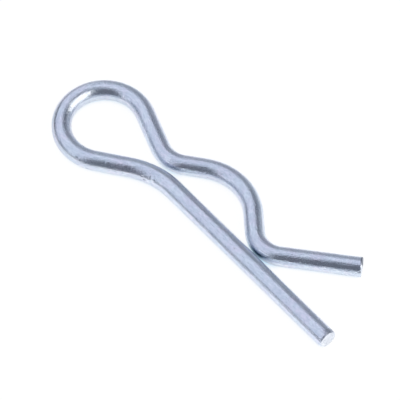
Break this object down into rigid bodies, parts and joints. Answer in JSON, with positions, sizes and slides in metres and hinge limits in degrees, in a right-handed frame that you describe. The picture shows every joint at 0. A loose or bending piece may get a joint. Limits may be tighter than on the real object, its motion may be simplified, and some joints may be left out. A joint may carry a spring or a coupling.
{
  "type": "r clip pin",
  "caption": "Hitch R clip bent from one round spring wire: straight leg through a shaft's cross hole, wavy leg with a hump that grips the shaft, round spring eye, flared tail.",
  "frame": {"origin": "centre of the gripped shaft, where it meets the axis of the straight leg", "axes": "+X along the straight leg to its free end, +Y from the straight leg to the wavy leg, +Z out of the plane of the clip, up when it lies flat"},
  "size_m": [0.0768, 0.0285, 0.004],
  "materials": {
    "zinc_plate": "bright zinc plate over drawn spring wire, fine lengthwise drawing lines"
  },
  "bodies": {
    "root": {"clip": "zinc_plate"}
  },
  "joints": []
}
